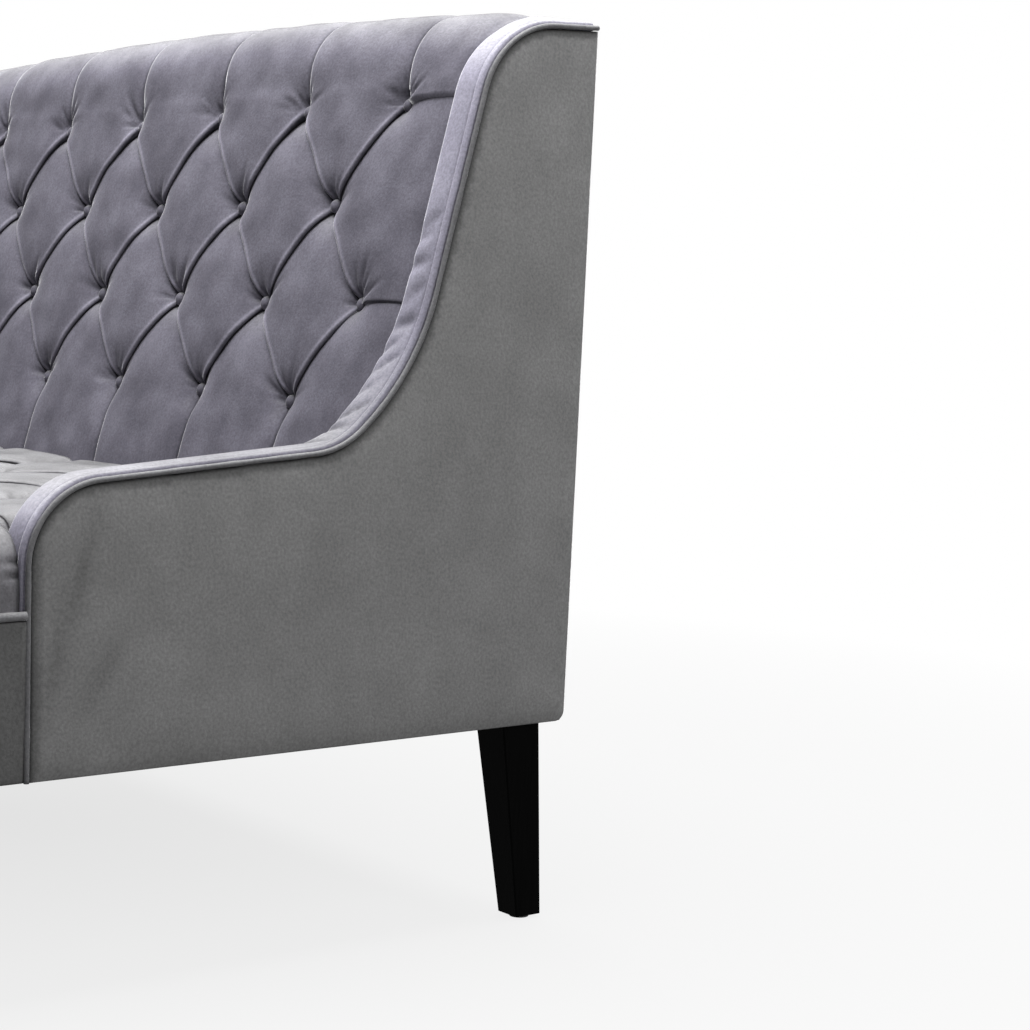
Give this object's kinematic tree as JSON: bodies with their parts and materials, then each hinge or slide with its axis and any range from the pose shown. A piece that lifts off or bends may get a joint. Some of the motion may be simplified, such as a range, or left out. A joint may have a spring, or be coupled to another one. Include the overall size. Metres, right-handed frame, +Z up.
{
  "type": "sofa",
  "caption": "Upholstered sofa with a deep diamond-tufted back and tight tufted seat, arms sweeping up into the back, piped edges, a T-shaped seat front and tapered black legs.",
  "frame": {"origin": "on the floor under the middle of the sofa's box", "axes": "+X across the seat to the right-hand arm in the picture, +Y from the seat front to the back, +Z up"},
  "size_m": [1.5994, 0.7927, 1.031],
  "materials": {
    "velvet_tufted": "velvet, violet grey, pile with sheen",
    "velvet_buttons": "velvet-covered buttons",
    "velvet_side": "velvet, plain, neutral grey",
    "velvet_band": "velvet, pile brushed towards the light",
    "velvet_piping": "velvet-covered piping cord",
    "black_wood": "black satin lacquer",
    "hardwood": "planed, unfinished",
    "plywood": "cut edge, unfinished",
    "webbing": "woven elastic",
    "felt": "needled",
    "foam": "open-cell foam",
    "lining": "black non-woven",
    "steel": "zinc plated",
    "nylon": "moulded, matt"
  },
  "bodies": {
    "root": {"back_buttons": "velvet_buttons", "back_pad": "velvet_tufted", "back_top_rail": "hardwood", "back_webbing": "webbing", "centre_back_post": "hardwood", "centre_stretcher": "hardwood", "cross_webbing": "webbing", "dust_cover": "lining", "front_border": "velvet_side", "front_rail": "hardwood", "left_arm_band": "velvet_band", "left_arm_pad": "velvet_band", "left_arm_panel": "plywood", "left_arm_welt": "velvet_piping", "left_back_post": "hardwood", "left_ear_board": "hardwood", "left_front_leg": "black_wood", "left_front_leg_block": "hardwood", "left_rear_leg": "black_wood", "left_rear_leg_block": "hardwood", "left_side_cover": "velvet_side", "left_side_rail": "hardwood", "leg_bolts": "steel", "leg_glides": "nylon", "leg_nuts": "steel", "loose_tenons": "hardwood", "outer_back": "velvet_side", "rear_rail": "hardwood", "right_arm_band": "velvet_band", "right_arm_pad": "velvet_band", "right_arm_panel": "plywood", "right_arm_welt": "velvet_piping", "right_back_post": "hardwood", "right_ear_board": "hardwood", "right_front_leg": "black_wood", "right_front_leg_block": "hardwood", "right_rear_leg": "black_wood", "right_rear_leg_block": "hardwood", "right_side_cover": "velvet_side", "right_side_rail": "hardwood", "seat_buttons": "velvet_buttons", "seat_felt": "felt", "seat_foam": "foam", "seat_pad": "velvet_tufted", "seat_webbing": "webbing", "seat_welt": "velvet_piping", "tuck_rail": "hardwood", "webbing_cleat": "hardwood"}
  },
  "joints": []
}
